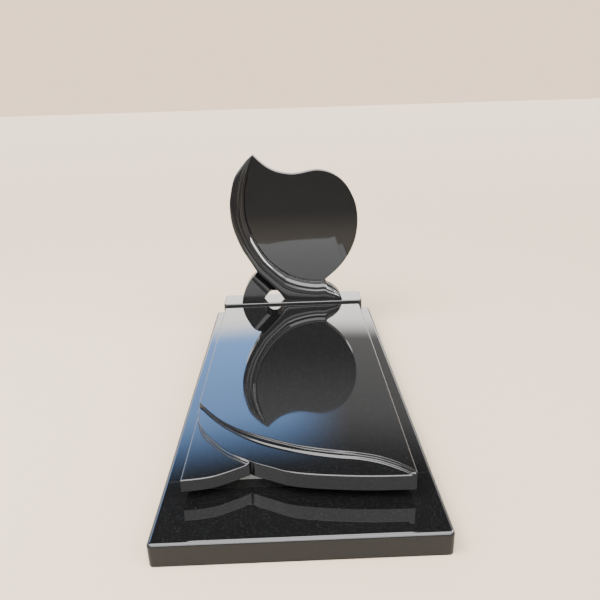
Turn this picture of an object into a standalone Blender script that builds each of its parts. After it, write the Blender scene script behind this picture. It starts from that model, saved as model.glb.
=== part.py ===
"""Kerbed memorial: kerb frame, sawn bearers, carved cover slab, plinth and leaf-shaped headstone.

Metres, Z up. X runs across the row, Y from the foot end to the headstone, and
the origin is the centre of the footprint at ground level.
"""

import math

import bmesh
import bpy

ROW_WIDTH = 1.000
ROW_LENGTH = 2.000
GAP = 0.0003

KERB_HEIGHT = 0.092
KERB_FRONT_DEPTH = 0.303
KERB_WIDTH = 0.120
KERB_ARRIS = 0.016
KERB_CORNER = 0.018
JOINT_ARRIS = 0.003

UNDER_GAP = 0.041
BEARER_THICKNESS = 0.040
BEARER_ARRIS = 0.002

SLAB_WIDTH = 0.819
SLAB_SHIFT = -0.0045
FIELD_THICKNESS = 0.076
LEAF_THICKNESS = 0.060
CORNER_THICKNESS = 0.048
SLAB_ARRIS = 0.007

PLINTH_WIDTH = 0.853
PLINTH_DEPTH = 0.166
PLINTH_HEIGHT = 0.090
PLINTH_MARGIN = 0.050
PLINTH_ARRIS = 0.006
PLINTH_CORNER = 0.020

HEADSTONE_HEIGHT = 0.885
HEADSTONE_DEPTH = 0.077
HEADSTONE_SETBACK = 0.012
FACE_RECESS = 0.014
DISC_RECESS = 0.010
VALLEY_RECESS = 0.050

FRONT = -ROW_LENGTH / 2
SLAB_BOTTOM = KERB_HEIGHT + UNDER_GAP
SLAB_LEFT = SLAB_SHIFT - SLAB_WIDTH / 2
SLAB_RIGHT = SLAB_SHIFT + SLAB_WIDTH / 2
PLINTH_REAR = ROW_LENGTH - PLINTH_MARGIN
SLAB_REAR = PLINTH_REAR - PLINTH_DEPTH - GAP
PLINTH_TOP = SLAB_BOTTOM + PLINTH_HEIGHT
STONE_FRONT = FRONT + SLAB_REAR + GAP + HEADSTONE_SETBACK

# Curves of the slab as (x, distance behind the kerb's front face).
CORNER_EDGE = ((-0.414, 0.197), (-0.350, 0.203), (-0.298, 0.214), (-0.247, 0.236), (-0.178, 0.273))
LEAF_EDGE = (
    (-0.178, 0.279),
    (-0.149, 0.261),
    (-0.087, 0.231),
    (-0.051, 0.213),
    (0.002, 0.197),
    (0.106, 0.180),
    (0.252, 0.166),
    (0.405, 0.162),
)
LEAF_FOOT = (
    (-0.414, 0.606),
    (-0.400, 0.537),
    (-0.388, 0.493),
    (-0.368, 0.449),
    (-0.338, 0.406),
    (-0.295, 0.354),
    (-0.254, 0.316),
    (-0.214, 0.287),
    (-0.191, 0.271),
    (-0.162, 0.250),
)
LEAF_ARRIS = (
    (-0.414, 0.626),
    (-0.400, 0.559),
    (-0.380, 0.501),
    (-0.340, 0.438),
    (-0.294, 0.376),
    (-0.253, 0.335),
    (-0.213, 0.305),
    (-0.176, 0.284),
    (-0.152, 0.264),
)
MOULDING_LOW = (
    (-0.414, 0.658),
    (-0.397, 0.637),
    (-0.360, 0.582),
    (-0.309, 0.510),
    (-0.265, 0.465),
    (-0.223, 0.426),
    (-0.143, 0.367),
    (-0.067, 0.330),
    (0.006, 0.303),
    (0.078, 0.281),
    (0.149, 0.264),
    (0.220, 0.252),
    (0.287, 0.227),
    (0.351, 0.187),
    (0.388, 0.157),
    (0.405, 0.140),
)
MOULDING_HIGH = (
    (-0.414, 0.671),
    (-0.394, 0.644),
    (-0.358, 0.592),
    (-0.309, 0.531),
    (-0.266, 0.489),
    (-0.224, 0.456),
    (-0.144, 0.410),
    (-0.067, 0.370),
    (0.007, 0.337),
    (0.079, 0.314),
    (0.151, 0.296),
    (0.221, 0.279),
    (0.290, 0.254),
    (0.350, 0.217),
    (0.388, 0.183),
    (0.405, 0.164),
)
# Profiles as (share of the way down the slope, share of its height).
FIELD_PROFILE = (
    (0.0, 1.0),
    (0.08, 0.95),
    (0.17, 0.56),
    (0.24, 0.49),
    (0.52, 0.47),
    (0.62, 0.36),
    (0.74, 0.08),
    (1.0, 0.0),
)
LEAF_PROFILE = ((0.0, 1.0), (0.25, 0.86), (0.55, 0.46), (0.80, 0.40), (1.0, 0.0))

# Headstone, as shares of its height: x from the row's middle, z from the plinth.
# Crescent's sections, each the edge beside the face and then the outer edge: from the
# tip down the flank to the disc, over the disc, over the hole, over the plinth, its end.
CRESCENT_FLANK = (
    (-0.227, 1.000, -0.227, 1.000),
    (-0.247, 0.939, -0.280, 0.954),
    (-0.268, 0.853, -0.350, 0.862),
    (-0.287, 0.765, -0.384, 0.744),
    (-0.292, 0.671, -0.393, 0.665),
    (-0.284, 0.583, -0.387, 0.567),
    (-0.265, 0.514, -0.365, 0.479),
    (-0.239, 0.445, -0.333, 0.396),
    (-0.209, 0.390, -0.302, 0.336),
    (-0.172, 0.331, -0.266, 0.275),
    (-0.134, 0.287, -0.230, 0.217),
)
CRESCENT_DISC = ((-0.081, 0.239, -0.155, 0.140), (-0.046, 0.215, -0.119, 0.102))
CRESCENT_HOLE = ((-0.013, 0.195, -0.088, 0.066), (0.045, 0.171, -0.035, 0.000))
CRESCENT_BASE = ((0.108, 0.155, 0.068, 0.000), (0.171, 0.147, 0.160, 0.000), (0.224, 0.147, 0.228, 0.000))
CRESCENT_END = (
    (0.243, 0.119, 0.262, 0.000),
    (0.285, 0.091, 0.295, 0.000),
    (0.323, 0.053, 0.326, 0.000),
    (0.347, 0.000, 0.347, 0.000),
)
CRESCENT = CRESCENT_FLANK + CRESCENT_DISC + CRESCENT_HOLE + CRESCENT_BASE + CRESCENT_END
# The profile changes from the flank's to the base's between these heights of the inner edge,
# and has its full relief where the crescent is at least this wide.
BLEND_TOP = 0.58
BLEND_LOW = 0.20
FULL_WIDTH = 0.09
# Crescent's profile at the flank and at the base: share of its width, share of the relief.
CRESCENT_PROFILE = (
    (0.00, 0.00, 0.00, 0.00),
    (0.04, -0.35, 0.03, -0.35),
    (0.09, 0.08, 0.08, 0.08),
    (0.14, 0.14, 0.20, 0.14),
    (0.25, 0.88, 0.35, 0.88),
    (0.35, 0.64, 0.43, 0.64),
    (0.52, 0.96, 0.54, 0.96),
    (0.61, 0.87, 0.62, 0.90),
    (0.76, 1.00, 0.74, 1.00),
    (0.87, 0.96, 0.90, 1.00),
    (1.00, 0.55, 1.00, 0.88),
)
# The blade from the notch over the lobe and the dip to the tip.
BLADE = (
    (0.224, 0.147),
    (0.258, 0.175),
    (0.319, 0.230),
    (0.364, 0.285),
    (0.398, 0.340),
    (0.423, 0.395),
    (0.439, 0.449),
    (0.449, 0.517),
    (0.449, 0.590),
    (0.438, 0.663),
    (0.413, 0.729),
    (0.375, 0.794),
    (0.323, 0.845),
    (0.260, 0.878),
    (0.193, 0.892),
    (0.140, 0.888),
    (0.075, 0.876),
    (0.016, 0.872),
    (-0.053, 0.883),
    (-0.102, 0.900),
    (-0.145, 0.925),
    (-0.187, 0.960),
    (-0.227, 1.000),
)
# The disc's flat face: outer edge, edge beside the valley, and side of the hole.
DISC_OUTLINE = (
    (-0.283, 0.169),
    (-0.299, 0.147),
    (-0.316, 0.116),
    (-0.332, 0.083),
    (-0.345, 0.045),
    (-0.354, 0.000),
)
DISC_EDGE = ((-0.283, 0.169), (-0.253, 0.131), (-0.221, 0.092), (-0.186, 0.055))
DISC_SIDE = ((-0.186, 0.055), (-0.192, 0.033), (-0.213, 0.000))
# The valley's profile from the disc to the crescent: share of the way, share of its depth.
VALLEY_PROFILE = ((0.12, 0.03), (0.35, 0.14), (0.60, 0.46), (0.85, 0.82))
# The hole's outline on the headstone's back.
HOLE_REAR = (
    (-0.199, 0.000),
    (-0.189, 0.014),
    (-0.170, 0.037),
    (-0.145, 0.055),
    (-0.120, 0.059),
    (-0.092, 0.041),
    (-0.066, 0.016),
    (-0.048, 0.000),
)

CRESCENT_STEPS = 2
OUTLINE_STEPS = 3
SLAB_STATIONS = 52
ARRIS_STEPS = 3
NOTCH_STEP = 0.0004
TOUCH = 1e-6
WELD = 1e-5
SMOOTH_ANGLE = math.radians(35)


def spline(points, u):
    """Point of a Catmull-Rom curve through the points, u counting them."""
    last = len(points) - 1
    i = min(int(u), last - 1)
    t = u - i
    p1 = points[i]
    p2 = points[i + 1]
    p0 = points[i - 1] if i > 0 else tuple(2 * a - b for a, b in zip(p1, p2))
    p3 = points[i + 2] if i + 2 <= last else tuple(2 * b - a for a, b in zip(p1, p2))
    return tuple(
        0.5 * (2 * b + (c - a) * t + (2 * a - 5 * b + 4 * c - d) * t**2 + (3 * b - a - 3 * c + d) * t**3)
        for a, b, c, d in zip(p0, p1, p2, p3)
    )


def sampled(points, steps):
    count = (len(points) - 1) * steps
    return [spline(points, k / steps) for k in range(count + 1)]


def height_at(curve, x):
    """Value of a (x, value) curve at x, with smooth slopes through its points."""
    last = len(curve) - 1
    if x <= curve[0][0]:
        return curve[0][1]
    if x >= curve[last][0]:
        return curve[last][1]
    i = max(k for k in range(last) if curve[k][0] <= x)
    slopes = []
    for k in (i, i + 1):
        a = curve[max(k - 1, 0)]
        b = curve[min(k + 1, last)]
        slopes.append((b[1] - a[1]) / (b[0] - a[0]))
    (x0, y0), (x1, y1) = curve[i], curve[i + 1]
    w = x1 - x0
    t = (x - x0) / w
    return (
        (2 * t**3 - 3 * t**2 + 1) * y0
        + (t**3 - 2 * t**2 + t) * w * slopes[0]
        + (3 * t**2 - 2 * t**3) * y1
        + (t**3 - t**2) * w * slopes[1]
    )


def linear_at(profile, t):
    for (t0, v0), (t1, v1) in zip(profile, profile[1:]):
        if t <= t1:
            return v0 + (v1 - v0) * (t - t0) / (t1 - t0)
    return profile[-1][1]


def arris_drop(distance, radius):
    """How far a rounded arris lies under its flat at a distance from the edge."""
    if distance >= radius:
        return 0.0
    inset = radius - max(distance, 0.0)
    return radius - math.sqrt(max(radius**2 - inset**2, 0.0))


def arris_steps(radius, steps):
    """Distances from the edge that divide a rounded arris evenly."""
    return [radius * (1 - math.cos(math.pi / 2 * k / steps)) for k in range(steps + 1)]


def material(name, colour, roughness):
    made = bpy.data.materials.new(name)
    made.use_nodes = True
    shader = made.node_tree.nodes["Principled BSDF"]
    shader.inputs["Base Color"].default_value = (*colour, 1.0)
    shader.inputs["Roughness"].default_value = roughness
    shader.inputs["Metallic"].default_value = 0.0
    return made


def add_object(name, bm, collection, surface):
    bmesh.ops.recalc_face_normals(bm, faces=bm.faces[:])
    mesh = bpy.data.meshes.new(name)
    for face in bm.faces:
        face.smooth = True
    for edge in bm.edges:
        edge.smooth = edge.calc_face_angle(math.pi) < SMOOTH_ANGLE
    bm.to_mesh(mesh)
    bm.free()
    made = bpy.data.objects.new(name, mesh)
    mesh.materials.append(surface)
    collection.objects.link(made)
    return made


def block(x0, x1, y0, y1, z0, z1):
    bm = bmesh.new()
    bmesh.ops.create_cube(bm, size=1.0)
    for vert in bm.verts:
        vert.co.x = x0 if vert.co.x < 0 else x1
        vert.co.y = y0 if vert.co.y < 0 else y1
        vert.co.z = z0 if vert.co.z < 0 else z1
    return bm


def bevel(bm, edges, width, steps):
    bmesh.ops.bevel(
        bm,
        geom=edges,
        affect="EDGES",
        offset=width,
        offset_type="OFFSET",
        segments=steps,
        profile=0.5,
        material=-1,
        clamp_overlap=True,
    )


def uprights(bm):
    """Edges of a block that stand upright."""
    return [edge for edge in bm.edges if (edge.verts[0].co.xy - edge.verts[1].co.xy).length < TOUCH]


def edges_where(bm, test):
    """Edges whose both ends pass the test."""
    return [edge for edge in bm.edges if all(test(vert.co) for vert in edge.verts)]


def kerb(x0, x1, y0, y1, outer):
    """Kerb stone whose named outer sides carry the wide rounded top arris."""
    bm = block(x0, x1, y0, y1, 0.0, KERB_HEIGHT)
    sides = {
        "left": lambda co: abs(co.x - x0) < TOUCH,
        "right": lambda co: abs(co.x - x1) < TOUCH,
        "front": lambda co: abs(co.y - y0) < TOUCH,
        "rear": lambda co: abs(co.y - y1) < TOUCH,
    }

    def on_side(edge, names):
        return any(all(sides[name](vert.co) for vert in edge.verts) for name in names)

    def at_top(edge):
        return all(abs(vert.co.z - KERB_HEIGHT) < TOUCH for vert in edge.verts)

    inner = [name for name in sides if name not in outer]
    corners = [edge for edge in uprights(bm) if not on_side(edge, inner)]
    bevel(bm, corners, KERB_CORNER, 4)
    bevel(bm, [edge for edge in bm.edges if at_top(edge) and not on_side(edge, inner)], KERB_ARRIS, 4)
    bevel(bm, [edge for edge in bm.edges if at_top(edge) and on_side(edge, inner)], JOINT_ARRIS, 1)
    return bm


def slab_front(x):
    curve = CORNER_EDGE if x < CORNER_EDGE[-1][0] else LEAF_EDGE
    return height_at(curve, x)


def slab_level(x, y):
    """Carved height of the slab above its underside at x and y behind the kerb's front."""
    high = height_at(MOULDING_HIGH, x)
    low = height_at(MOULDING_LOW, x)
    arris = height_at(LEAF_ARRIS, x)
    foot = height_at(LEAF_FOOT, x)
    if y >= high:
        return FIELD_THICKNESS
    if y >= low:
        share = linear_at(FIELD_PROFILE, (high - y) / (high - low))
        return LEAF_THICKNESS + share * (FIELD_THICKNESS - LEAF_THICKNESS)
    if x > CORNER_EDGE[-1][0] or y >= arris:
        return LEAF_THICKNESS
    if y <= foot:
        return CORNER_THICKNESS
    share = linear_at(LEAF_PROFILE, (arris - y) / (arris - foot))
    return CORNER_THICKNESS + share * (LEAF_THICKNESS - CORNER_THICKNESS)


def slab_stations():
    """Sections across the slab, close together at its sides and at the notch."""
    ends = arris_steps(SLAB_ARRIS, ARRIS_STEPS)
    notch = CORNER_EDGE[-1][0]
    left = SLAB_LEFT + SLAB_ARRIS
    right = SLAB_RIGHT - SLAB_ARRIS
    stations = [SLAB_LEFT + step for step in ends[:-1]]
    before = round(SLAB_STATIONS * (notch - left) / (right - left))
    after = SLAB_STATIONS - before
    stations += [left + (notch - left) * k / before for k in range(before)]
    stations += [notch - NOTCH_STEP, notch + NOTCH_STEP]
    stations += [notch + (right - notch) * k / after for k in range(1, after + 1)]
    stations += [SLAB_RIGHT - step for step in reversed(ends[:-1])]
    return stations


def slab_rows(x):
    """Distances behind the kerb's front at which the section at x is cut."""
    front = slab_front(x)
    steps = arris_steps(SLAB_ARRIS, ARRIS_STEPS)
    edge = front + SLAB_ARRIS
    high = height_at(MOULDING_HIGH, x)
    low = height_at(MOULDING_LOW, x)
    arris = height_at(LEAF_ARRIS, x)
    foot = height_at(LEAF_FOOT, x)
    if x > CORNER_EDGE[-1][0]:
        arris = foot = edge
    rows = [front + step for step in steps]
    rows += [max(edge, arris + (foot - arris) * t) for t, _ in reversed(LEAF_PROFILE)]
    rows += [max(edge, high + (low - high) * t) for t, _ in reversed(FIELD_PROFILE)]
    rows += [SLAB_REAR - step for step in reversed(steps)]
    return rows


def cover_slab():
    bm = bmesh.new()
    sections = []
    for x in slab_stations():
        side_drop = arris_drop(min(x - SLAB_LEFT, SLAB_RIGHT - x), SLAB_ARRIS)
        rows = slab_rows(x)
        section = [bm.verts.new((x, FRONT + rows[0], SLAB_BOTTOM))]
        for y in rows:
            edge_drop = arris_drop(min(y - rows[0], rows[-1] - y), SLAB_ARRIS)
            level = slab_level(x, y) - max(side_drop, edge_drop)
            section.append(bm.verts.new((x, FRONT + y, SLAB_BOTTOM + level)))
        section.append(bm.verts.new((x, FRONT + rows[-1], SLAB_BOTTOM)))
        sections.append(section)
    for near, far in zip(sections, sections[1:]):
        for k in range(len(near)):
            j = (k + 1) % len(near)
            bm.faces.new((near[k], near[j], far[j], far[k]))
    bm.faces.new(sections[0])
    bm.faces.new(sections[-1])
    bmesh.ops.remove_doubles(bm, verts=bm.verts[:], dist=WELD)
    return bm


class Relief:
    """Front surface of the headstone, made of patches that share their edges."""

    def __init__(self):
        self.bm = bmesh.new()
        self.found = {}

    def point(self, x, z, depth):
        """Vertex at shares x and z of the height and at a depth behind the front."""
        key = (round(x, 5), round(z, 5), round(depth, 6))
        if key not in self.found:
            self.found[key] = self.bm.verts.new(
                (x * HEADSTONE_HEIGHT, STONE_FRONT + depth, PLINTH_TOP + GAP + z * (HEADSTONE_HEIGHT - GAP))
            )
        return self.found[key]

    def face(self, points):
        kept = []
        for vert in points:
            if vert not in kept:
                kept.append(vert)
        if len(kept) > 2:
            self.bm.faces.new(kept)

    def grid(self, rows):
        for row, other in zip(rows, rows[1:]):
            for k in range(len(row) - 1):
                self.face((row[k], row[k + 1], other[k + 1], other[k]))


def crescent_row(relief, k):
    """Vertices across the crescent at station k, from the face to its outer edge."""
    ix, iz, ox, oz = spline(CRESCENT, k)
    iz = max(iz, 0.0)
    oz = max(oz, 0.0)
    if k in (0, len(CRESCENT) - 1):
        return [relief.point(ix, iz, FACE_RECESS)] * len(CRESCENT_PROFILE)
    base = min(max((BLEND_TOP - iz) / (BLEND_TOP - BLEND_LOW), 0.0), 1.0)
    lift = min(1.0, math.hypot(ix - ox, iz - oz) / FULL_WIDTH)
    row = []
    for flank, flank_share, foot, foot_share in CRESCENT_PROFILE:
        t = flank + (foot - flank) * base
        share = flank_share + (foot_share - flank_share) * base
        depth = FACE_RECESS * (1 - share * lift)
        row.append(relief.point(ix + (ox - ix) * t, iz + (oz - iz) * t, depth))
    return row


def valley_rows(relief, edge, outer):
    """Rows of vertices from the disc's edge across the valley to the crescent's wall."""
    rows = []
    for k, near in enumerate(edge):
        share = k / (len(edge) - 1)
        ex, ez = spline(DISC_EDGE, share * (len(DISC_EDGE) - 1))
        _, _, ox, oz = spline(CRESCENT, len(CRESCENT_FLANK) - 1 + share * len(CRESCENT_DISC))
        row = [near]
        for t, deep in VALLEY_PROFILE:
            depth = DISC_RECESS + (VALLEY_RECESS - DISC_RECESS) * deep
            row.append(relief.point(ex + (ox - ex) * t, ez + (oz - ez) * t, depth))
        row.append(relief.point(ox, oz, VALLEY_RECESS) if k else outer[0])
        rows.append(row)
    return rows


def headstone():
    relief = Relief()
    steps = CRESCENT_STEPS
    disc = (len(CRESCENT_FLANK) - 1) * steps
    hole = disc + len(CRESCENT_DISC) * steps
    foot = hole + len(CRESCENT_HOLE) * steps
    notch = foot + len(CRESCENT_BASE) * steps
    end = notch + len(CRESCENT_END) * steps
    rows = [crescent_row(relief, k / steps) for k in range(end + 1)]
    relief.grid(rows)

    blade = [relief.point(x, z, FACE_RECESS) for x, z in sampled(BLADE, OUTLINE_STEPS)]
    inner = [row[0] for row in rows[: notch + 1]]
    relief.face(inner + blade)

    outline, edge, side = (
        [relief.point(x, z, DISC_RECESS) for x, z in sampled(curve, OUTLINE_STEPS)]
        for curve in (DISC_OUTLINE, DISC_EDGE, DISC_SIDE)
    )
    relief.face(outline + side[::-1] + edge[::-1])

    outer = [row[-1] for row in rows[disc:]]
    valley = valley_rows(relief, edge, outer)
    relief.grid(valley)
    bridge(relief, outer[: hole - disc + 1], [row[-1] for row in valley])

    bm = relief.bm
    close_back(bm, side[::-1] + valley[-1][1:] + outer[hole - disc : foot - disc + 1])
    return bm


def bridge(relief, upper, lower):
    """Strip of triangles between two rows of unlike counts that share their first vertex."""
    i = 0
    j = 0
    while i < len(upper) - 1 or j < len(lower) - 1:
        step_upper = j == len(lower) - 1 or (
            i < len(upper) - 1 and (i + 1) / (len(upper) - 1) <= (j + 1) / (len(lower) - 1)
        )
        if step_upper:
            relief.face((upper[i], upper[i + 1], lower[j]))
            i += 1
        else:
            relief.face((upper[i], lower[j + 1], lower[j]))
            j += 1


def close_back(bm, rim):
    """Carries the front's border straight to the back, the hole's rim to its narrower rear rim."""
    lengths = [0.0]
    for a, b in zip(rim, rim[1:]):
        lengths.append(lengths[-1] + (a.co - b.co).length)
    rear = {}
    for vert, length in zip(rim, lengths):
        u = length / lengths[-1] * (len(HOLE_REAR) - 1)
        rear[tuple(vert.co)] = spline(HOLE_REAR, u)
    border = [edge for edge in bm.edges if edge.is_boundary]
    made = bmesh.ops.extrude_edge_only(bm, edges=border)["geom"]
    verts = [item for item in made if isinstance(item, bmesh.types.BMVert)]
    edges = [item for item in made if isinstance(item, bmesh.types.BMEdge)]
    for vert in verts:
        key = tuple(vert.co)
        if key in rear:
            x, z = rear[key]
            vert.co.x = x * HEADSTONE_HEIGHT
            vert.co.z = PLINTH_TOP + GAP + max(z, 0.0) * (HEADSTONE_HEIGHT - GAP)
        vert.co.y = STONE_FRONT + HEADSTONE_DEPTH
    bmesh.ops.triangle_fill(bm, use_beauty=True, use_dissolve=False, edges=edges)
    bmesh.ops.remove_doubles(bm, verts=bm.verts[:], dist=WELD)


def main():
    for obj in list(bpy.data.objects):
        bpy.data.objects.remove(obj)
    collection = bpy.data.collections.new("kerbed_memorial")
    bpy.context.scene.collection.children.link(collection)

    half = ROW_WIDTH / 2
    back = -FRONT
    joint = FRONT + KERB_FRONT_DEPTH
    rear = back - KERB_WIDTH
    kerbs = {
        "kerb_front": (-half, half, FRONT, joint, ("left", "front", "right")),
        "kerb_left": (-half, -half + KERB_WIDTH, joint + GAP, rear - GAP, ("left",)),
        "kerb_right": (half - KERB_WIDTH, half, joint + GAP, rear - GAP, ("right",)),
        "kerb_rear": (-half, half, rear, back, ("left", "rear", "right")),
    }
    for name, sizes in kerbs.items():
        surface = material(name + "_granite", (0.012, 0.012, 0.013), 0.08)
        add_object(name, kerb(*sizes), collection, surface)

    inside = half - KERB_WIDTH - GAP
    top = SLAB_BOTTOM - GAP
    front_bearer = joint + GAP
    rear_bearer = rear - GAP
    near = front_bearer + BEARER_THICKNESS
    far = rear_bearer - BEARER_THICKNESS
    bearers = {
        "bearer_front": (-inside, inside, front_bearer, near),
        "bearer_left": (-inside, -inside + BEARER_THICKNESS, near + GAP, far - GAP),
        "bearer_right": (inside - BEARER_THICKNESS, inside, near + GAP, far - GAP),
        "bearer_rear": (-inside, inside, far, rear_bearer),
    }
    for name, (x0, x1, y0, y1) in bearers.items():
        bm = block(x0, x1, y0, y1, 0.0, top)
        bevel(bm, edges_where(bm, lambda co: co.z > top / 2), BEARER_ARRIS, 1)
        surface = material(name + "_sawn", (0.36, 0.36, 0.35), 0.9)
        add_object(name, bm, collection, surface)

    surface = material("cover_slab_granite", (0.011, 0.011, 0.012), 0.06)
    add_object("cover_slab", cover_slab(), collection, surface)

    side = PLINTH_WIDTH / 2
    rear = FRONT + PLINTH_REAR
    bm = block(-side, side, rear - PLINTH_DEPTH, rear, SLAB_BOTTOM, PLINTH_TOP)
    bevel(bm, uprights(bm), PLINTH_CORNER, 5)
    bevel(bm, edges_where(bm, lambda co: co.z > PLINTH_TOP - GAP), PLINTH_ARRIS, 3)
    surface = material("headstone_plinth_granite", (0.012, 0.012, 0.013), 0.07)
    add_object("headstone_plinth", bm, collection, surface)

    surface = material("headstone_granite", (0.010, 0.010, 0.011), 0.05)
    add_object("headstone", headstone(), collection, surface)


main()
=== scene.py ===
"""Kerbed memorial, dressed: polished granite kerbs, carved cover slab, plinth and leaf-shaped headstone.

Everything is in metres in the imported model's frame. X runs across the memorial, Y from its foot end to
the headstone and Z up. Curves of the slab are given as (x, distance behind the kerb's front face), and
those of the headstone as shares of its height.
"""

from __future__ import annotations

import logging
import math
from collections.abc import Callable, Sequence
from dataclasses import dataclass, field
from enum import Enum

import bmesh
import bpy
from mathutils import Matrix, Vector

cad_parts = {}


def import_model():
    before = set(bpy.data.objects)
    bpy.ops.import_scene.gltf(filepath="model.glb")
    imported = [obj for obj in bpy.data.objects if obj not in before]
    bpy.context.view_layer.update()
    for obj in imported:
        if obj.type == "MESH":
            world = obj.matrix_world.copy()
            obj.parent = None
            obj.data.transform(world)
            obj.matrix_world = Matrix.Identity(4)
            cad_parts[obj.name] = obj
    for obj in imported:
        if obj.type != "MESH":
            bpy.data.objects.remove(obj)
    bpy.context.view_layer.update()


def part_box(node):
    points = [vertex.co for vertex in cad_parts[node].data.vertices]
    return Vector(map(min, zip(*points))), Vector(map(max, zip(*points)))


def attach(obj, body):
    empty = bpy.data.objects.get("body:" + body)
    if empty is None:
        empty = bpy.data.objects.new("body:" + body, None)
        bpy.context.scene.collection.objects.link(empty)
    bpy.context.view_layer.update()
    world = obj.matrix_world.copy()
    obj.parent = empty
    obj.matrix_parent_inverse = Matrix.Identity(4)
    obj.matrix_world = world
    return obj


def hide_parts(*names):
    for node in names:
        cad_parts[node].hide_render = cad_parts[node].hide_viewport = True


LOG = logging.getLogger("kerbed_memorial")

# Distances within which points are one, lie on a plane, join patches, and belong to the hole's rim.
WELD = 1e-6
TOUCH = 1e-5
SEAM = 2e-5
RIM = 5e-5
# Digits that tell points of an outline apart, in metres.
KEY_DIGITS = 4
# Angles in degrees from which edges stay sharp on the blocks and on the carved stones.
BLOCK_SHARP = 40.0
CARVED_SHARP = 28.0

Pair = tuple[float, float]
Point = tuple[float, ...]
Colour = tuple[float, float, float]
Source = bpy.types.NodeSocket | Colour


class Slot(Enum):
    """Material slots of the record."""

    POLISHED = "polished_granite"
    SAWN = "sawn_granite"


def spline(points: Sequence[Point], u: float) -> Point:
    """Point of a Catmull-Rom curve.

    Args:
        points: Points that the curve passes through.
        u: Place on the curve, counted in points.

    Returns:
        The point at u.
    """
    last = len(points) - 1
    i = min(max(int(u), 0), last - 1)
    t = u - i
    p1, p2 = points[i], points[i + 1]
    p0 = points[i - 1] if i > 0 else tuple(2 * a - b for a, b in zip(p1, p2))
    p3 = points[i + 2] if i + 2 <= last else tuple(2 * b - a for a, b in zip(p1, p2))
    return tuple(
        0.5 * (2 * b + (c - a) * t + (2 * a - 5 * b + 4 * c - d) * t**2 + (3 * b - a - 3 * c + d) * t**3)
        for a, b, c, d in zip(p0, p1, p2, p3)
    )


def sampled(points: Sequence[Point], steps: int) -> list[Point]:
    """Points of a curve, steps of them for each of its spans."""
    return [spline(points, k / steps) for k in range((len(points) - 1) * steps + 1)]


def value_at(curve: Sequence[Pair], x: float) -> float:
    """Value of a (x, value) curve.

    Args:
        curve: Pairs with rising x.
        x: Where the curve is read. Past its ends it keeps its end values.

    Returns:
        The value, with a smooth slope through each pair.
    """
    last = len(curve) - 1
    if x <= curve[0][0]:
        return curve[0][1]
    if x >= curve[last][0]:
        return curve[last][1]
    i = max(k for k in range(last) if curve[k][0] <= x)
    slopes = []
    for k in (i, i + 1):
        a, b = curve[max(k - 1, 0)], curve[min(k + 1, last)]
        slopes.append((b[1] - a[1]) / (b[0] - a[0]))
    (x0, y0), (x1, y1) = curve[i], curve[i + 1]
    w = x1 - x0
    t = (x - x0) / w
    return (
        (2 * t**3 - 3 * t**2 + 1) * y0
        + (t**3 - 2 * t**2 + t) * w * slopes[0]
        + (3 * t**2 - 2 * t**3) * y1
        + (t**3 - t**2) * w * slopes[1]
    )


def arris_drop(distance: float, radius: float) -> float:
    """How far a rounded arris lies under its flat at a distance from the edge."""
    if distance >= radius:
        return 0.0
    inset = radius - max(distance, 0.0)
    return radius - math.sqrt(max(radius**2 - inset**2, 0.0))


def arris_steps(radius: float, steps: int) -> list[float]:
    """Distances from the edge that divide a rounded arris evenly."""
    return [radius * (1 - math.cos(math.pi / 2 * k / steps)) for k in range(steps + 1)]


def grid_patch(bm: bmesh.types.BMesh, rows: Sequence[Sequence[Vector]]) -> None:
    """Adds a net of faces through rows of points.

    Args:
        bm: Mesh that gets the patch.
        rows: Rows of points, each with the same number.
    """
    across, along = len(rows[0]) - 1, len(rows) - 1
    for vert in bmesh.ops.create_grid(bm, x_segments=across, y_segments=along, size=0.5)["verts"]:
        i = round((vert.co.x + 0.5) * across)
        j = round((vert.co.y + 0.5) * along)
        vert.co = rows[j][i]


def block(low: Vector, high: Vector) -> bmesh.types.BMesh:
    """A box between two corners."""
    bm = bmesh.new()
    bmesh.ops.create_cube(bm, size=1.0)
    for vert in bm.verts:
        for axis in range(3):
            vert.co[axis] = low[axis] if vert.co[axis] < 0 else high[axis]
    return bm


def bevel(bm: bmesh.types.BMesh, edges: list[bmesh.types.BMEdge], width: float, steps: int) -> None:
    """Rounds edges."""
    bmesh.ops.bevel(
        bm,
        geom=edges,
        affect="EDGES",
        offset=width,
        offset_type="OFFSET",
        segments=steps,
        profile=0.5,
        material=-1,
        clamp_overlap=True,
    )


def edges_where(bm: bmesh.types.BMesh, test: Callable[[Vector], bool]) -> list[bmesh.types.BMEdge]:
    """Edges whose both ends pass a test."""
    return [edge for edge in bm.edges if all(test(vert.co) for vert in edge.verts)]


def uprights(bm: bmesh.types.BMesh) -> list[bmesh.types.BMEdge]:
    """Edges of a block that stand upright."""
    return [edge for edge in bm.edges if (edge.verts[0].co.xy - edge.verts[1].co.xy).length < TOUCH]


def piece(
    bm: bmesh.types.BMesh, name: str, sharp: float, material: bpy.types.Material, node: str
) -> bpy.types.Object:
    """Turns a mesh into a finished piece that stands for a node.

    Args:
        bm: The mesh, in the model's frame.
        name: The piece's name.
        sharp: Angle in degrees from which an edge stays sharp.
        material: Its material.
        node: The node that it replaces.

    Returns:
        The object.
    """
    bmesh.ops.recalc_face_normals(bm, faces=bm.faces[:])
    for face in bm.faces:
        face.smooth = True
    for edge in bm.edges:
        edge.smooth = edge.calc_face_angle(math.pi) < math.radians(sharp)
    mesh = bpy.data.meshes.new(name)
    bm.to_mesh(mesh)
    bm.free()
    made = bpy.data.objects.new(name, mesh)
    bpy.context.scene.collection.objects.link(made)
    mesh.materials.append(material)
    flats = made.modifiers.new("flats_stay_flat", "WEIGHTED_NORMAL")
    flats.mode = "FACE_AREA"
    flats.weight = 100
    flats.keep_sharp = True
    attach(made, "root")
    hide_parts(node)
    LOG.info("%s: %d faces", name, len(mesh.polygons))
    return made


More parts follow.
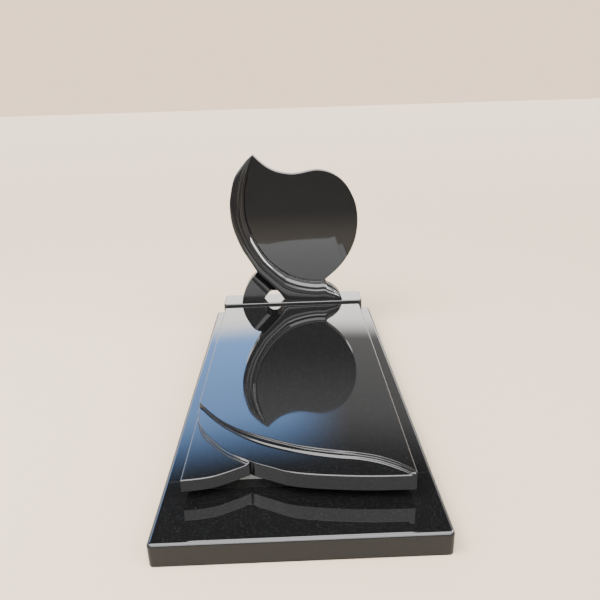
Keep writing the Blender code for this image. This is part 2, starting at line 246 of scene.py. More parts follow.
def ranged(tree: bpy.types.NodeTree, value: bpy.types.NodeSocket, span: Pair) -> bpy.types.NodeSocket:
    """Smooth step of a value.

    Args:
        tree: Tree that gets the node.
        value: Socket with the value.
        span: Values at which the step starts and is full.

    Returns:
        The socket with the step.
    """
    step = tree.nodes.new("ShaderNodeMapRange")
    step.interpolation_type = "SMOOTHSTEP"
    step.inputs["From Min"].default_value, step.inputs["From Max"].default_value = span
    tree.links.new(value, step.inputs["Value"])
    return step.outputs["Result"]


def mixed(
    tree: bpy.types.NodeTree, share: bpy.types.NodeSocket, first: Source, second: Source
) -> bpy.types.NodeSocket:
    """Mix of two colours.

    Args:
        tree: Tree that gets the node.
        share: Socket with the second colour's share.
        first: Socket or colour at share 0.
        second: Socket or colour at share 1.

    Returns:
        The socket with the colour.
    """
    mix = tree.nodes.new("ShaderNodeMix")
    mix.data_type = "RGBA"
    tree.links.new(share, mix.inputs["Factor"])
    for key, source in (("A", first), ("B", second)):
        if isinstance(source, tuple):
            mix.inputs[key].default_value = (*source, 1.0)
        else:
            tree.links.new(source, mix.inputs[key])
    return mix.outputs["Result"]


@dataclass(frozen=True)
class Crystals:
    """Shares of the crystals and the look of the haze that granite of every finish has in common."""

    name: str = "granite_crystals"
    grain: Pair = (0.45, 1.0)
    fleck: Pair = (0.955, 0.965)
    cloud_scale: float = 5.0
    cloud_detail: float = 6.0
    cloud_roughness: float = 0.6
    cloud: Pair = (0.4, 0.75)
    grit_detail: float = 3.0

    def sockets(self, group: bpy.types.ShaderNodeTree) -> None:
        """Declares what the group takes and gives.

        Args:
            group: The group.
        """
        taken = {"Vector": "NodeSocketVector"}
        taken |= {key: "NodeSocketColor" for key in ("Ground", "Grain", "Fleck")}
        taken |= {key: "NodeSocketFloat" for key in ("Scale", "Roughness", "Haze")}
        given = {"Color": "NodeSocketColor", "Roughness": "NodeSocketFloat", "Height": "NodeSocketFloat"}
        for way, kinds in (("INPUT", taken), ("OUTPUT", given)):
            for key, kind in kinds.items():
                group.interface.new_socket(name=key, in_out=way, socket_type=kind)

    def group(self) -> bpy.types.ShaderNodeTree:
        """Node group for granite: crystals, flecks and the haze of handling and rain.

        Returns:
            The group, built once.
        """
        if self.name in bpy.data.node_groups:
            return bpy.data.node_groups[self.name]
        group = bpy.data.node_groups.new(self.name, "ShaderNodeTree")
        self.sockets(group)
        nodes, links = group.nodes, group.links
        start = nodes.new("NodeGroupInput").outputs
        end = nodes.new("NodeGroupOutput").inputs

        crystals = nodes.new("ShaderNodeTexVoronoi")
        crystals.feature = "F1"
        links.new(start["Vector"], crystals.inputs["Vector"])
        links.new(start["Scale"], crystals.inputs["Scale"])
        shade = nodes.new("ShaderNodeSeparateColor")
        links.new(crystals.outputs["Color"], shade.inputs["Color"])
        body = mixed(group, ranged(group, shade.outputs["Red"], self.grain), start["Ground"], start["Grain"])
        flecks = ranged(group, shade.outputs["Green"], self.fleck)
        links.new(mixed(group, flecks, body, start["Fleck"]), end["Color"])

        clouds = nodes.new("ShaderNodeTexNoise")
        clouds.inputs["Scale"].default_value = self.cloud_scale
        clouds.inputs["Detail"].default_value = self.cloud_detail
        clouds.inputs["Roughness"].default_value = self.cloud_roughness
        links.new(start["Vector"], clouds.inputs["Vector"])
        hazed = nodes.new("ShaderNodeMath")
        hazed.operation = "MULTIPLY_ADD"
        links.new(ranged(group, clouds.outputs["Fac"], self.cloud), hazed.inputs[0])
        links.new(start["Haze"], hazed.inputs[1])
        links.new(start["Roughness"], hazed.inputs[2])
        links.new(hazed.outputs["Value"], end["Roughness"])

        grit = nodes.new("ShaderNodeTexNoise")
        grit.inputs["Detail"].default_value = self.grit_detail
        links.new(start["Vector"], grit.inputs["Vector"])
        links.new(start["Scale"], grit.inputs["Scale"])
        links.new(grit.outputs["Fac"], end["Height"])
        return group


@dataclass(frozen=True)
class Granite:
    """A granite finish: colours of its crystals, gloss, haze, and the height of its saw marks."""

    name: str
    ground: Colour
    grain: Colour
    fleck: Colour
    roughness: float
    haze: float
    relief: float
    scale: float
    index: float = 1.54

    def build(self) -> bpy.types.Material:
        """Makes the material.

        Returns:
            The material.
        """
        made = bpy.data.materials.new(self.name)
        made.use_nodes = True
        tree = made.node_tree
        shader = tree.nodes["Principled BSDF"]
        shader.inputs["IOR"].default_value = self.index
        coords = tree.nodes.new("ShaderNodeTexCoord")
        stone = tree.nodes.new("ShaderNodeGroup")
        stone.node_tree = Crystals().group()
        stone.inputs["Scale"].default_value = self.scale
        for key, colour in (("Ground", self.ground), ("Grain", self.grain), ("Fleck", self.fleck)):
            stone.inputs[key].default_value = (*colour, 1.0)
        stone.inputs["Roughness"].default_value = self.roughness
        stone.inputs["Haze"].default_value = self.haze
        tree.links.new(coords.outputs["Object"], stone.inputs["Vector"])
        tree.links.new(stone.outputs["Color"], shader.inputs["Base Color"])
        tree.links.new(stone.outputs["Roughness"], shader.inputs["Roughness"])
        if self.relief:
            bump = tree.nodes.new("ShaderNodeBump")
            bump.inputs["Distance"].default_value = self.relief
            tree.links.new(stone.outputs["Height"], bump.inputs["Height"])
            tree.links.new(bump.outputs["Normal"], shader.inputs["Normal"])
        return made


POLISHED = Granite(
    name="polished_granite",
    ground=(0.0026, 0.0026, 0.0027),
    grain=(0.0050, 0.0050, 0.0052),
    fleck=(0.014, 0.014, 0.0145),
    roughness=0.030,
    haze=0.03,
    relief=0.0,
    scale=420.0,
)
SAWN = Granite(
    name="sawn_granite",
    ground=(0.30, 0.30, 0.29),
    grain=(0.42, 0.42, 0.40),
    fleck=(0.10, 0.10, 0.10),
    roughness=0.82,
    haze=0.1,
    relief=0.0006,
    scale=260.0,
)


@dataclass
class KerbFrame:
    """The four kerb stones, whose outer top arris and outer corners are rounded."""

    arris: float = 0.016
    arris_cuts: int = 8
    corner: float = 0.018
    joint: float = 0.0035
    joint_cuts: int = 3
    outer: dict[str, tuple[str, ...]] = field(
        default_factory=lambda: {
            "kerb_front": ("left", "front", "right"),
            "kerb_left": ("left",),
            "kerb_right": ("right",),
            "kerb_rear": ("left", "rear", "right"),
        }
    )

    def stone(self, low: Vector, high: Vector, outer: Sequence[str]) -> bmesh.types.BMesh:
        """Shapes one kerb stone.

        Args:
            low: Its lowest corner.
            high: Its highest corner.
            outer: Its sides that carry the wide arris.

        Returns:
            Its mesh.
        """
        bm = block(low, high)
        sides = {"left": (0, low.x), "right": (0, high.x), "front": (1, low.y), "rear": (1, high.y)}
        inner = [sides[name] for name in sides if name not in outer]

        def joint(edge: bmesh.types.BMEdge) -> bool:
            return any(all(abs(vert.co[axis] - at) < TOUCH for vert in edge.verts) for axis, at in inner)

        def top(co: Vector) -> bool:
            return abs(co.z - high.z) < TOUCH

        bevel(bm, [edge for edge in uprights(bm) if not joint(edge)], self.corner, self.arris_cuts)
        bevel(bm, [edge for edge in edges_where(bm, top) if not joint(edge)], self.arris, self.arris_cuts)
        joints = [edge for edge in edges_where(bm, top) if joint(edge)]
        bevel(bm, joints, self.joint, self.joint_cuts)
        return bm

    def build(self, material: bpy.types.Material) -> None:
        """Makes the kerbs.

        Args:
            material: Their granite.
        """
        for node, outer in self.outer.items():
            low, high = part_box(node)
            stone = self.stone(low, high, outer)
            piece(stone, f"{node}_polished", BLOCK_SHARP, material, node)


@dataclass
class Bearers:
    """Sawn strips on edge that carry the slab and the plinth."""

    arris: float = 0.002
    arris_cuts: int = 2
    nodes: tuple[str, ...] = ("bearer_front", "bearer_left", "bearer_right", "bearer_rear")

    def build(self, material: bpy.types.Material) -> None:
        """Makes the bearers.

        Args:
            material: Their granite.
        """
        for node in self.nodes:
            low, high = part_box(node)
            bm = block(low, high)
            bevel(bm, edges_where(bm, lambda co, top=high.z: co.z > top - TOUCH), self.arris, self.arris_cuts)
            piece(bm, f"{node}_sawn", BLOCK_SHARP, material, node)


@dataclass
class Plinth:
    """The block under the headstone, with rounded corners."""

    arris: float = 0.006
    arris_cuts: int = 6
    corner: float = 0.020

    def build(self, material: bpy.types.Material) -> None:
        """Makes the plinth.

        Args:
            material: Its granite.
        """
        low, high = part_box("headstone_plinth")
        bm = block(low, high)
        bevel(bm, uprights(bm), self.corner, self.arris_cuts)
        bevel(bm, edges_where(bm, lambda co: co.z > high.z - TOUCH), self.arris, self.arris_cuts)
        piece(bm, "headstone_plinth_polished", BLOCK_SHARP, material, "headstone_plinth")


@dataclass
class CoverSlab:
    """The slab with its corner field, leaf and moulding, carved in one stone.

    Profiles run from the top of a slope to its foot, as (share of its run, share of its height).
    """

    leaf_rise: float = 0.060
    corner_rise: float = 0.048
    arris: float = 0.005
    arris_cuts: int = 6
    stations: int = 190
    notch_step: float = 0.0003
    corner_edge: tuple[Pair, ...] = (
        (-0.414, 0.197),
        (-0.350, 0.203),
        (-0.298, 0.214),
        (-0.247, 0.236),
        (-0.178, 0.273),
    )
    leaf_edge: tuple[Pair, ...] = (
        (-0.178, 0.279),
        (-0.149, 0.261),
        (-0.087, 0.231),
        (-0.051, 0.213),
        (0.002, 0.197),
        (0.106, 0.180),
        (0.252, 0.166),
        (0.405, 0.162),
    )
    leaf_foot: tuple[Pair, ...] = (
        (-0.414, 0.606),
        (-0.400, 0.537),
        (-0.388, 0.493),
        (-0.368, 0.449),
        (-0.338, 0.406),
        (-0.295, 0.354),
        (-0.254, 0.316),
        (-0.214, 0.287),
        (-0.191, 0.271),
        (-0.162, 0.250),
    )
    leaf_arris: tuple[Pair, ...] = (
        (-0.414, 0.626),
        (-0.400, 0.559),
        (-0.380, 0.501),
        (-0.340, 0.438),
        (-0.294, 0.376),
        (-0.253, 0.335),
        (-0.213, 0.305),
        (-0.176, 0.284),
        (-0.152, 0.264),
    )
    moulding_low: tuple[Pair, ...] = (
        (-0.414, 0.658),
        (-0.397, 0.637),
        (-0.360, 0.582),
        (-0.309, 0.510),
        (-0.265, 0.465),
        (-0.223, 0.426),
        (-0.143, 0.367),
        (-0.067, 0.330),
        (0.006, 0.303),
        (0.078, 0.281),
        (0.149, 0.264),
        (0.220, 0.252),
        (0.287, 0.227),
        (0.351, 0.187),
        (0.388, 0.157),
        (0.405, 0.140),
    )
    moulding_high: tuple[Pair, ...] = (
        (-0.414, 0.671),
        (-0.394, 0.644),
        (-0.358, 0.592),
        (-0.309, 0.531),
        (-0.266, 0.489),
        (-0.224, 0.456),
        (-0.144, 0.410),
        (-0.067, 0.370),
        (0.007, 0.337),
        (0.079, 0.314),
        (0.151, 0.296),
        (0.221, 0.279),
        (0.290, 0.254),
        (0.350, 0.217),
        (0.388, 0.183),
        (0.405, 0.164),
    )
    field_profile: tuple[Pair, ...] = (
        (0.0, 1.0),
        (0.05, 0.975),
        (0.09, 0.90),
        (0.13, 0.72),
        (0.17, 0.56),
        (0.22, 0.50),
        (0.32, 0.485),
        (0.46, 0.475),
        (0.54, 0.455),
        (0.60, 0.39),
        (0.66, 0.24),
        (0.72, 0.10),
        (0.78, 0.03),
        (0.86, 0.005),
        (1.0, 0.0),
    )
    leaf_profile: tuple[Pair, ...] = (
        (0.0, 1.0),
        (0.12, 0.97),
        (0.30, 0.74),
        (0.48, 0.46),
        (0.60, 0.42),
        (0.72, 0.44),
        (0.84, 0.30),
        (1.0, 0.0),
    )
    profile_cuts: int = 40

    def __post_init__(self) -> None:
        """Takes the slab's place from its node and the row's front from the front kerb."""
        self.low, self.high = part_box("cover_slab")
        self.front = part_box("kerb_front")[0].y
        self.rear = self.high.y - self.front
        self.field_rise = self.high.z - self.low.z

    def level(self, x: float, y: float) -> float:
        """Carved height above the underside.

        Args:
            x: Place across the slab.
            y: Distance behind the kerb's front face.

        Returns:
            The height.
        """
        high, low = value_at(self.moulding_high, x), value_at(self.moulding_low, x)
        if y >= high:
            return self.field_rise
        if y >= low:
            share = value_at(self.field_profile, (high - y) / (high - low))
            return self.leaf_rise + share * (self.field_rise - self.leaf_rise)
        arris, foot = value_at(self.leaf_arris, x), value_at(self.leaf_foot, x)
        if x > self.corner_edge[-1][0] or y >= arris:
            return self.leaf_rise
        if y <= foot:
            return self.corner_rise
        share = value_at(self.leaf_profile, (arris - y) / (arris - foot))
        return self.corner_rise + share * (self.leaf_rise - self.corner_rise)

    def across(self) -> list[float]:
        """Places of the sections, close together at the sides and the notch."""
        ends = arris_steps(self.arris, self.arris_cuts)
        notch = self.corner_edge[-1][0]
        left, right = self.low.x + self.arris, self.high.x - self.arris
        before = round(self.stations * (notch - left) / (right - left))
        after = self.stations - before
        places = [self.low.x + step for step in ends[:-1]]
        places += [left + (notch - left) * k / before for k in range(before)]
        places += [notch - self.notch_step, notch + self.notch_step]
        places += [notch + (right - notch) * k / after for k in range(1, after + 1)]
        return places + [self.high.x - step for step in reversed(ends[:-1])]

    def section(self, x: float) -> list[Vector]:
        """Points of the slab's top from front to rear at one place.

        Args:
            x: Place across the slab.

        Returns:
            The points.
        """
        corner = x < self.corner_edge[-1][0]
        front = value_at(self.corner_edge if corner else self.leaf_edge, x)
        steps = arris_steps(self.arris, self.arris_cuts)
        edge = front + self.arris
        arris = value_at(self.leaf_arris, x) if corner else edge
        foot = value_at(self.leaf_foot, x) if corner else edge
        high, low = value_at(self.moulding_high, x), value_at(self.moulding_low, x)
        cuts = self.profile_cuts
        rows = [front + step for step in steps]
        rows += [max(edge, foot + (arris - foot) * k / cuts) for k in range(cuts + 1)]
        rows += [max(edge, low + (high - low) * k / cuts) for k in range(cuts + 1)]
        rows += [self.rear - step for step in reversed(steps)]
        side = arris_drop(min(x - self.low.x, self.high.x - x), self.arris)
        points = []
        for y in rows:
            drop = max(side, arris_drop(min(y - front, self.rear - y), self.arris))
            points.append(Vector((x, self.front + y, self.low.z + self.level(x, y) - drop)))
        return points

    def build(self, material: bpy.types.Material) -> None:
        """Makes the slab.

        Args:
            material: Its granite.
        """
        bm = bmesh.new()
        grid_patch(bm, [self.section(x) for x in self.across()])
        bmesh.ops.remove_doubles(bm, verts=bm.verts[:], dist=WELD)
        border = [edge for edge in bm.edges if edge.is_boundary]
        made = bmesh.ops.extrude_edge_only(bm, edges=border)["geom"]
        for vert in (item for item in made if isinstance(item, bmesh.types.BMVert)):
            vert.co.z = self.low.z
        bmesh.ops.contextual_create(bm, geom=[item for item in made if isinstance(item, bmesh.types.BMEdge)])
        piece(bm, "cover_slab_polished", CARVED_SHARP, material, "cover_slab")


@dataclass
class Headstone:
    """The leaf-shaped headstone: blade, crescent moulding, disc and the hole between them.

    Each station of the crescent is its edge beside the face and then its outer edge. Its profile gives,
    for the flank and then for the foot, a share of the width and a share of the relief. The flank's turns
    into the foot's between the heights of blend. Corners sharper than corner_angle, in radians, are eased.
    """

    recess: float = 0.014
    disc_recess: float = 0.010
    valley: float = 0.050
    arris: float = 0.002
    arris_cuts: int = 3
    crescent_steps: int = 9
    outline_steps: int = 8
    blend: Pair = (0.58, 0.20)
    full_width: float = 0.09
    ridge_width: float = 0.147
    ridge_ease: int = 4
    corner_angle: float = 1.0
    flank: tuple[Point, ...] = (
        (-0.227, 1.000, -0.227, 1.000),
        (-0.247, 0.939, -0.280, 0.954),
        (-0.268, 0.853, -0.350, 0.862),
        (-0.287, 0.765, -0.384, 0.744),
        (-0.292, 0.671, -0.393, 0.665),
        (-0.284, 0.583, -0.387, 0.567),
        (-0.265, 0.514, -0.365, 0.479),
        (-0.239, 0.445, -0.333, 0.396),
        (-0.209, 0.390, -0.302, 0.336),
        (-0.172, 0.331, -0.266, 0.275),
        (-0.134, 0.287, -0.230, 0.217),
    )
    over_disc: tuple[Point, ...] = ((-0.081, 0.239, -0.155, 0.140), (-0.046, 0.215, -0.119, 0.102))
    over_hole: tuple[Point, ...] = ((-0.013, 0.195, -0.088, 0.066), (0.045, 0.171, -0.035, 0.000))
    base: tuple[Point, ...] = (
        (0.108, 0.155, 0.068, 0.000),
        (0.171, 0.147, 0.160, 0.000),
        (0.224, 0.147, 0.228, 0.000),
    )
    end: tuple[Point, ...] = (
        (0.243, 0.119, 0.262, 0.000),
        (0.285, 0.091, 0.295, 0.000),
        (0.323, 0.053, 0.326, 0.000),
        (0.347, 0.000, 0.347, 0.000),
    )
    blade: tuple[Pair, ...] = (
        (0.224, 0.147),
        (0.258, 0.175),
        (0.319, 0.230),
        (0.364, 0.285),
        (0.398, 0.340),
        (0.423, 0.395),
        (0.439, 0.449),
        (0.449, 0.517),
        (0.449, 0.590),
        (0.438, 0.663),
        (0.413, 0.729),
        (0.375, 0.794),
        (0.323, 0.845),
        (0.260, 0.878),
        (0.193, 0.892),
        (0.140, 0.888),
        (0.075, 0.876),
        (0.016, 0.872),
        (-0.053, 0.883),
        (-0.102, 0.900),
        (-0.145, 0.925),
        (-0.187, 0.960),
        (-0.227, 1.000),
    )
    disc_outline: tuple[Pair, ...] = (
        (-0.283, 0.169),
        (-0.299, 0.147),
        (-0.316, 0.116),
        (-0.332, 0.083),
        (-0.345, 0.045),
        (-0.354, 0.000),
    )
    disc_edge: tuple[Pair, ...] = ((-0.283, 0.169), (-0.253, 0.131), (-0.221, 0.092), (-0.186, 0.055))
    disc_side: tuple[Pair, ...] = ((-0.186, 0.055), (-0.192, 0.033), (-0.213, 0.000))
    hole_rear: tuple[Pair, ...] = (
        (-0.199, 0.000),
        (-0.189, 0.014),
        (-0.170, 0.037),
        (-0.145, 0.055),
        (-0.120, 0.059),
        (-0.092, 0.041),
        (-0.066, 0.016),
        (-0.048, 0.000),
    )
    profile: tuple[Point, ...] = (
        (0.000, 0.00, 0.000, 0.00),
        (0.015, -0.20, 0.010, -0.20),
        (0.035, -0.38, 0.030, -0.38),
        (0.060, -0.32, 0.050, -0.32),
        (0.080, 0.00, 0.068, 0.00),
        (0.095, 0.10, 0.085, 0.10),
        (0.120, 0.12, 0.150, 0.12),
        (0.140, 0.16, 0.200, 0.16),
        (0.165, 0.36, 0.240, 0.36),
        (0.205, 0.66, 0.290, 0.66),
        (0.240, 0.86, 0.330, 0.86),
        (0.265, 0.90, 0.360, 0.90),
        (0.300, 0.84, 0.385, 0.84),
        (0.340, 0.66, 0.415, 0.66),
        (0.380, 0.62, 0.440, 0.62),
        (0.430, 0.70, 0.470, 0.70),
        (0.500, 0.93, 0.520, 0.93),
        (0.540, 0.97, 0.555, 0.97),
        (0.590, 0.88, 0.600, 0.90),
        (0.640, 0.88, 0.640, 0.91),
        (0.720, 0.98, 0.700, 0.99),
        (0.800, 1.00, 0.760, 1.00),
        (0.870, 0.96, 0.900, 1.00),
        (0.940, 0.82, 0.965, 0.97),
        (1.000, 0.55, 1.000, 0.88),
    )
    profile_cuts: int = 3
    valley_profile: tuple[Pair, ...] = (
        (0.0, 0.0),
        (0.12, 0.03),
        (0.35, 0.14),
        (0.60, 0.46),
        (0.85, 0.82),
        (1.0, 1.0),
    )
    valley_cuts: int = 20

    def __post_init__(self) -> None:
        """Takes the headstone's place from its node and counts its stations."""
        self.low, self.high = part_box("headstone")
        self.height = self.high.z - self.low.z
        self.crescent = self.flank + self.over_disc + self.over_hole + self.base + self.end
        self.disc_station = len(self.flank) - 1
        self.hole_station = self.disc_station + len(self.over_disc)
        self.foot_station = self.hole_station + len(self.over_hole)
        self.notch_station = self.foot_station + len(self.base)

    def place(self, x: float, z: float, depth: float) -> Vector:
        """Point at shares x and z of the height and at a depth behind the front."""
        return Vector((x * self.height, self.low.y + depth, self.low.z + max(z, 0.0) * self.height))

    def crescent_rows(self) -> list[list[Vector]]:
        """Rows of points across the crescent from its tip to its end.

        Where the crescent is wider than its ridges, over the hole and beside it, the ridges keep
        their distances from the face, and the room between them and the edge is taken up by the last.

        Returns:
            The rows, each from the face to the outer edge.
        """
        fine = sampled(self.profile, self.profile_cuts)
        start, full = self.blend
        rows = []
        for ix, iz, ox, oz in sampled(self.crescent, self.crescent_steps):
            iz, oz = max(iz, 0.0), max(oz, 0.0)
            base = min(max((start - iz) / (start - full), 0.0), 1.0)
            width = math.hypot(ix - ox, iz - oz)
            lift = min(1.0, width / self.full_width)
            reach = min(1.0, self.ridge_width / width) if width else 1.0
            row = []
            for flank, flank_share, low, low_share in fine:
                t = flank + (low - flank) * base
                t *= reach + (1.0 - reach) * t**self.ridge_ease
                share = flank_share + (low_share - flank_share) * base
                depth = self.recess * (1 - share * lift)
                row.append(self.place(ix + (ox - ix) * t, iz + (oz - iz) * t, depth))
            rows.append(row)
        return rows

    def fill(self, bm: bmesh.types.BMesh, loop: Sequence[Vector]) -> None:
        """Adds one flat face inside a loop of points.

        Args:
            bm: Mesh that gets the face.
            loop: The points in order, where neighbours may coincide.
        """
        kept = []
        for point in loop:
            if not kept or (point - kept[-1]).length > WELD:
                kept.append(point)
        if (kept[0] - kept[-1]).length < WELD:
            kept.pop()
        bm.faces.new([bm.verts.new(point) for point in kept])

    def build(self, material: bpy.types.Material) -> None:
        """Makes the headstone.

        Args:
            material: Its granite.
        """
        bm = bmesh.new()
        rows = self.crescent_rows()
        grid_patch(bm, rows)
        inner = [row[0] for row in rows[: self.notch_station * self.crescent_steps + 1]]
        blade = [self.place(x, z, self.recess) for x, z in sampled(self.blade, self.outline_steps)]
        self.fill(bm, inner + blade)

        outline = sampled(self.disc_outline, self.outline_steps)
        edge = sampled(self.disc_edge, self.outline_steps)
        side = sampled(self.disc_side, self.outline_steps)
        self.fill(bm, [self.place(x, z, self.disc_recess) for x, z in outline + side[::-1] + edge[::-1]])

        stations = (self.disc_station, self.hole_station, self.foot_station)
        first, last, foot = (station * self.crescent_steps for station in stations)
        outer = [row[-1] for row in rows]
        valley = self.valley_rows(edge, outer[first])
        grid_patch(bm, valley)
        self.ribbon(bm, outer[first : last + 1], [row[-1] for row in valley])
        bmesh.ops.remove_doubles(bm, verts=bm.verts[:], dist=SEAM)
        bmesh.ops.dissolve_degenerate(bm, edges=bm.edges[:], dist=WELD)

        rim = [self.place(x, z, self.disc_recess) for x, z in side[::-1]]
        rim += valley[-1][1:] + outer[last : foot + 1]
        self.close_back(bm, rim)
        self.ease(bm, [blade, [self.place(x, z, self.disc_recess) for x, z in outline]])
        piece(bm, "headstone_polished", CARVED_SHARP, material, "headstone")

    def valley_rows(self, edge: Sequence[Point], start: Vector) -> list[list[Vector]]:
        """Rows of points from the disc's edge down to the foot of the crescent's wall.

        Args:
            edge: The disc's edge from its top down to the hole.
            start: The crescent's outer edge at the first row, which ends there.

        Returns:
            The rows.
        """
        rows = []
        for k, (ex, ez) in enumerate(edge):
            share = k / (len(edge) - 1)
            station = self.disc_station + share * (self.hole_station - self.disc_station)
            _, _, ox, oz = spline(self.crescent, station)
            row = []
            for j in range(self.valley_cuts + 1):
                t = j / self.valley_cuts
                depth = self.disc_recess + (self.valley - self.disc_recess) * value_at(self.valley_profile, t)
                row.append(self.place(ex + (ox - ex) * t, ez + (oz - ez) * t, depth))
            rows.append(row)
        rows[0][-1] = start.copy()
        return rows

    def ribbon(self, bm: bmesh.types.BMesh, upper: Sequence[Vector], lower: Sequence[Vector]) -> None:
        """Adds the step between two edges that start at one point.

        Args:
            bm: Mesh that gets the faces.
            upper: Points of the edge in front.
            lower: Points of the edge behind it.
        """
        ends = []
        for line in (upper, lower):
            verts = [bm.verts.new(point) for point in line]
            ends.append([bm.edges.new(pair) for pair in zip(verts, verts[1:])])
        bmesh.ops.bridge_loops(bm, edges=ends[0] + ends[1])

    def close_back(self, bm: bmesh.types.BMesh, rim: Sequence[Vector]) -> None:
        """Carries the front's border to the back and closes it there.

        Args:
            bm: The front surface.
            rim: The front rim of the hole from the disc's foot to the crescent's.
        """
        lengths = [0.0]
        for a, b in zip(rim, rim[1:]):
            lengths.append(lengths[-1] + (a - b).length)
        border = [edge for edge in bm.edges if edge.is_boundary]
        made = bmesh.ops.extrude_edge_only(bm, edges=border)["geom"]
        for vert in (item for item in made if isinstance(item, bmesh.types.BMVert)):
            near = min(range(len(rim)), key=lambda k: (rim[k] - vert.co).length)
            if (rim[near] - vert.co).length < RIM:
                x, z = spline(self.hole_rear, lengths[near] / lengths[-1] * (len(self.hole_rear) - 1))
                vert.co = self.place(x, z, 0.0)
            vert.co.y = self.high.y
        edges = [item for item in made if isinstance(item, bmesh.types.BMEdge)]
        bmesh.ops.triangle_fill(bm, use_beauty=True, use_dissolve=False, edges=edges)
        bmesh.ops.remove_doubles(bm, verts=bm.verts[:], dist=WELD)

    def ease(self, bm: bmesh.types.BMesh, lines: Sequence[Sequence[Vector]]) -> None:
        """Rounds the front arris along the blade's and the disc's outline.

        Args:
            bm: The closed stone.
            lines: Points of the outlines on the front.
        """

        def key(point: Vector) -> Point:
            return tuple(round(value, KEY_DIGITS) for value in point)

        keys = {key(point) for line in lines for point in line[1:-1]}
        edges = edges_where(bm, lambda co: key(co) in keys)
        corners = [edge for edge in edges if edge.calc_face_angle(0.0) > self.corner_angle]
        bevel(bm, corners, self.arris, self.arris_cuts)


@dataclass(frozen=True)
class SoftLight:
    """A soft rectangular light that the stone either mirrors, or is lit by without mirroring it."""

    name: str
    size: Pair
    power: float
    place: Point
    aim: Point
    mirrored: bool

    def build(self) -> None:
        """Hangs the light."""
        data = bpy.data.lights.new(self.name, "AREA")
        data.shape = "RECTANGLE"
        data.size, data.size_y = self.size
        data.energy = self.power
        made = bpy.data.objects.new(self.name, data)
        made.location = self.place
        made.rotation_euler = (Vector(self.aim) - Vector(self.place)).to_track_quat("-Z", "Y").to_euler()
        made.visible_glossy = self.mirrored
        made.visible_diffuse = not self.mirrored
        bpy.context.scene.collection.objects.link(made)


LIGHTS = (
    SoftLight("key", (2.4, 2.4), 260.0, (-2.2, -1.2, 4.2), (0.0, 0.2, 0.3), mirrored=False),
    SoftLight("fill", (3.0, 3.0), 90.0, (3.4, -2.0, 3.0), (0.0, 0.2, 0.3), mirrored=False),
    SoftLight("front", (6.0, 1.6), 270.0, (0.0, -9.0, 2.9), (0.0, 0.0, 0.2), mirrored=True),
    SoftLight("side", (2.6, 2.6), 500.0, (4.4, -0.2, 2.6), (0.0, 0.8, 0.5), mirrored=True),
    SoftLight("overhead", (3.0, 2.4), 300.0, (0.0, -0.4, 6.0), (0.0, -0.4, 0.0), mirrored=True),
)


@dataclass(frozen=True)
class Floor:
    """Pale floor. In the stone's reflections its colour is darker, painted shade, and darkest well in front,
    painted shade in place of light falling off with distance.
    """

    name: str = "studio_floor"
    half: float = 60.0
    below: float = 0.0005
    colour: Colour = (0.84, 0.68, 0.51)
    # Colour of the floor in the stone's reflections near the memorial: painted shade, darker than the floor
    # itself.
    near: Colour = (0.46, 0.40, 0.33)
    # Colour of the floor in the stone's reflections well in front: painted shade standing in for light
    # falling off.
    painted_far_shade: Colour = (0.14, 0.13, 0.12)
    painted_shade_fade: Pair = (-3.2, -1.1)
    roughness: float = 0.9
    gloss: float = 0.1

    def build(self) -> None:
        """Lays the floor."""
        bm = bmesh.new()
        bmesh.ops.create_grid(bm, x_segments=1, y_segments=1, size=self.half)
        mesh = bpy.data.meshes.new(self.name)
        bm.to_mesh(mesh)
        bm.free()
        made = bpy.data.objects.new(self.name, mesh)
        made.location.z = -self.below
        bpy.context.scene.collection.objects.link(made)
        mesh.materials.append(self.material())

    def material(self) -> bpy.types.Material:
        """Makes the floor's material.

        Returns:
            The material.
        """
        made = bpy.data.materials.new(self.name)
        made.use_nodes = True
        tree = made.node_tree
        axes = tree.nodes.new("ShaderNodeSeparateXYZ")
        tree.links.new(tree.nodes.new("ShaderNodeTexCoord").outputs["Object"], axes.inputs["Vector"])
        rays = tree.nodes.new("ShaderNodeLightPath").outputs
        # Painted shade: in the stone's reflections the floor darkens towards the front, while camera and
        # diffuse rays see its own pale colour.
        mirrored = mixed(tree, ranged(tree, axes.outputs["Y"], self.painted_shade_fade), self.painted_far_shade, self.near)
        shader = tree.nodes["Principled BSDF"]
        tree.links.new(mixed(tree, rays["Is Glossy Ray"], self.colour, mirrored), shader.inputs["Base Color"])
        shader.inputs["Roughness"].default_value = self.roughness
        shader.inputs["Specular IOR Level"].default_value = self.gloss
        return made


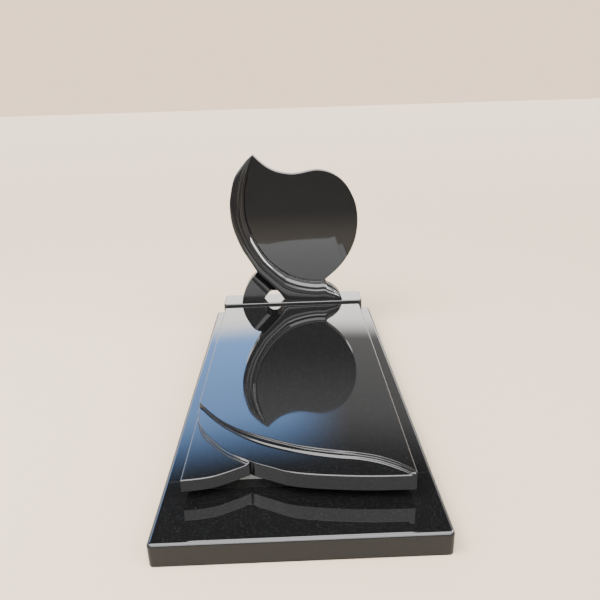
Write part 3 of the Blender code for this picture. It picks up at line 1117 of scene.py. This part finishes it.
@dataclass(frozen=True)
class Surroundings:
    """Soft surroundings: what the camera sees, what lights the stone, and the zones that it mirrors.

    A zone's span gives the heights, or places along an axis, of the directions between which it starts.
    """

    wall: Colour = (2.0, 1.46, 1.06)
    ambient: Colour = (1.05, 1.03, 1.0)
    skyline: Colour = (1.3, 1.25, 1.2)
    horizon: Colour = (7.6, 7.4, 7.0)
    horizon_side: Colour = (3.0, 2.9, 2.7)
    horizon_height: Pair = (0.24, 0.31)
    horizon_rear: Pair = (0.70, 0.90)
    window: Colour = (1.7, 3.1, 6.0)
    window_height: Pair = (0.38, 0.42)
    shade: Colour = (0.80, 0.78, 0.76)
    shade_right: Pair = (-0.06, 0.10)
    ceiling: Colour = (0.09, 0.09, 0.09)
    ceiling_height: Pair = (0.52, 0.62)
    front_low: Colour = (0.8, 0.8, 0.8)
    front_mid: Colour = (2.0, 2.0, 2.0)
    front_mid_height: Pair = (0.16, 0.26)
    front_high: Colour = (12.0, 12.0, 12.0)
    front_high_height: Pair = (0.42, 0.56)
    rear: Pair = (-0.28, -0.08)

    def build(self) -> None:
        """Paints the world."""
        world = bpy.data.worlds.new("studio")
        bpy.context.scene.world = world
        world.use_nodes = True
        tree = world.node_tree
        axes = tree.nodes.new("ShaderNodeSeparateXYZ")
        tree.links.new(tree.nodes.new("ShaderNodeTexCoord").outputs["Generated"], axes.inputs["Vector"])
        across, along, height = (axes.outputs[name] for name in "XYZ")

        sides = mixed(tree, ranged(tree, across, self.shade_right), self.window, self.shade)
        upper = mixed(tree, ranged(tree, height, self.ceiling_height), sides, self.ceiling)
        horizon = mixed(tree, ranged(tree, along, self.horizon_rear), self.horizon_side, self.horizon)
        lower = mixed(tree, ranged(tree, height, self.horizon_height), self.skyline, horizon)
        behind = mixed(tree, ranged(tree, height, self.window_height), lower, upper)

        front = mixed(tree, ranged(tree, height, self.front_mid_height), self.front_low, self.front_mid)
        front = mixed(tree, ranged(tree, height, self.front_high_height), front, self.front_high)
        mirrored = mixed(tree, ranged(tree, along, self.rear), front, behind)

        rays = tree.nodes.new("ShaderNodeLightPath").outputs
        lit = mixed(tree, rays["Is Diffuse Ray"], mirrored, self.ambient)
        seen = mixed(tree, rays["Is Camera Ray"], lit, self.wall)
        tree.links.new(seen, tree.nodes["Background"].inputs["Color"])


@dataclass(frozen=True)
class Camera:
    """The camera, where the photo was taken."""

    eye: Point = (0.000832, -2.367614, 1.425452)
    turn: tuple[Point, ...] = (
        (0.999284, 0.035629, -0.012767),
        (-0.024519, 0.352486, -0.935496),
        (-0.028831, 0.935138, 0.353107),
    )
    lens: float = 32.8265
    sensor: float = 36.0
    reach: float = 200.0

    def build(self) -> None:
        """Sets up the camera."""
        data = bpy.data.cameras.new("camera")
        data.lens = self.lens
        data.sensor_width = self.sensor
        data.clip_end = self.reach
        made = bpy.data.objects.new("camera", data)
        made.matrix_world = Matrix.Translation(self.eye) @ Matrix(self.turn).to_4x4()
        bpy.context.scene.collection.objects.link(made)
        bpy.context.scene.camera = made


def studio() -> None:
    """Sets up floor, surroundings, lights and camera."""
    Floor().build()
    Surroundings().build()
    for light in LIGHTS:
        light.build()
    Camera().build()


def main() -> None:
    """Builds the memorial and its studio."""
    logging.basicConfig(level=logging.INFO, format="%(message)s")
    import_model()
    polished = POLISHED.build()
    sawn = SAWN.build()
    KerbFrame().build(polished)
    Bearers().build(sawn)
    Plinth().build(polished)
    CoverSlab().build(polished)
    Headstone().build(polished)
    studio()


if __name__ == "__main__":
    main()
